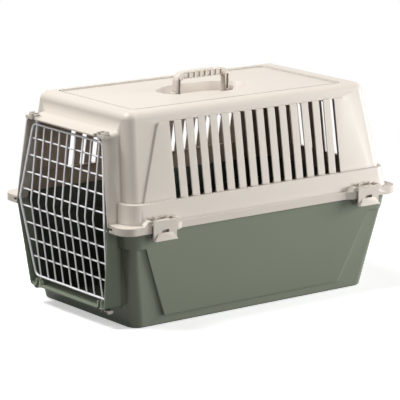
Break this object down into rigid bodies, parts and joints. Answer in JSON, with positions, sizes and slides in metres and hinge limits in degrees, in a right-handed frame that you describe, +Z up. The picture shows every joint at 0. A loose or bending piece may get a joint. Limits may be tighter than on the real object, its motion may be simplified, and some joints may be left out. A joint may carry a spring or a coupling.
{
  "type": "pet carrier",
  "caption": "Plastic pet carrier: tub and vented lid held by side clips, with a folding carrying handle and a bent wire door on sliding catches.",
  "frame": {"origin": "under the middle of the carrier, on the floor it stands on", "axes": "+Z up, -Y towards the door, Y along the carrier, X across it"},
  "size_m": [0.376, 0.6034, 0.396],
  "materials": {
    "green_plastic": "satin moulded plastic, sage green",
    "beige_plastic": "satin moulded plastic, warm light beige",
    "coated_wire": "white plastic-coated steel wire"
  },
  "bodies": {
    "carrier": {"lower_shell": "green_plastic", "upper_shell": "beige_plastic"},
    "door": {"door_frame_wire": "coated_wire", "door_upright_wire_1": "coated_wire", "door_upright_wire_2": "coated_wire", "door_upright_wire_3": "coated_wire", "door_upright_wire_4": "coated_wire", "door_upright_wire_5": "coated_wire", "door_upright_wire_6": "coated_wire", "door_upright_wire_7": "coated_wire", "door_upright_wire_8": "coated_wire", "door_upright_wire_9": "coated_wire", "door_cross_wire_1": "coated_wire", "door_cross_wire_2": "coated_wire", "door_cross_wire_3": "coated_wire", "door_cross_wire_4": "coated_wire", "door_cross_wire_5": "coated_wire", "door_cross_wire_6": "coated_wire", "door_cross_wire_7": "coated_wire", "door_cross_wire_8": "coated_wire", "door_pin_top_left": "coated_wire", "door_pin_top_right": "coated_wire", "door_pin_bottom_left": "coated_wire", "door_pin_bottom_right": "coated_wire"},
    "handle": {"handle": "beige_plastic"},
    "clip_front_left": {"clip_front_left": "beige_plastic"},
    "clip_front_right": {"clip_front_right": "beige_plastic"},
    "clip_rear_left": {"clip_rear_left": "beige_plastic"},
    "clip_rear_right": {"clip_rear_right": "beige_plastic"},
    "door_catch_top_left": {"door_catch_top_left": "beige_plastic"},
    "door_catch_top_right": {"door_catch_top_right": "beige_plastic"},
    "door_catch_bottom_left": {"door_catch_bottom_left": "beige_plastic"},
    "door_catch_bottom_right": {"door_catch_bottom_right": "beige_plastic"}
  },
  "joints": [
    {"name": "door_swing", "type": "hinge", "parent": "carrier", "child": "door", "pos_m": [-0.0892, -0.2875, 0.315], "axis": [0, 0.0319, -0.9995], "range_deg": [0, 120]},
    {"name": "handle_fold", "type": "hinge", "parent": "carrier", "child": "handle", "pos_m": [0, -0.006, 0.355], "axis": [0, 1, 0], "range_deg": [-70, 70]},
    {"name": "clip_front_left_swing", "type": "hinge", "parent": "carrier", "child": "clip_front_left", "pos_m": [-0.176, -0.221, 0.19], "axis": [0, 1, 0], "range_deg": [0, 90]},
    {"name": "clip_front_right_swing", "type": "hinge", "parent": "carrier", "child": "clip_front_right", "pos_m": [0.176, -0.221, 0.19], "axis": [0, -1, 0], "range_deg": [0, 90]},
    {"name": "clip_rear_left_swing", "type": "hinge", "parent": "carrier", "child": "clip_rear_left", "pos_m": [-0.176, 0.225, 0.19], "axis": [0, 1, 0], "range_deg": [0, 90]},
    {"name": "clip_rear_right_swing", "type": "hinge", "parent": "carrier", "child": "clip_rear_right", "pos_m": [0.176, 0.225, 0.19], "axis": [0, -1, 0], "range_deg": [0, 90]},
    {"name": "door_catch_top_left_slide", "type": "slide", "parent": "carrier", "child": "door_catch_top_left", "axis": [-1, 0, 0], "range_m": [0, 0.008]},
    {"name": "door_catch_top_right_slide", "type": "slide", "parent": "carrier", "child": "door_catch_top_right", "axis": [-1, 0, 0], "range_m": [0, 0.008]},
    {"name": "door_catch_bottom_left_slide", "type": "slide", "parent": "carrier", "child": "door_catch_bottom_left", "axis": [-1, 0, 0], "range_m": [0, 0.008]},
    {"name": "door_catch_bottom_right_slide", "type": "slide", "parent": "carrier", "child": "door_catch_bottom_right", "axis": [-1, 0, 0], "range_m": [0, 0.008]}
  ]
}
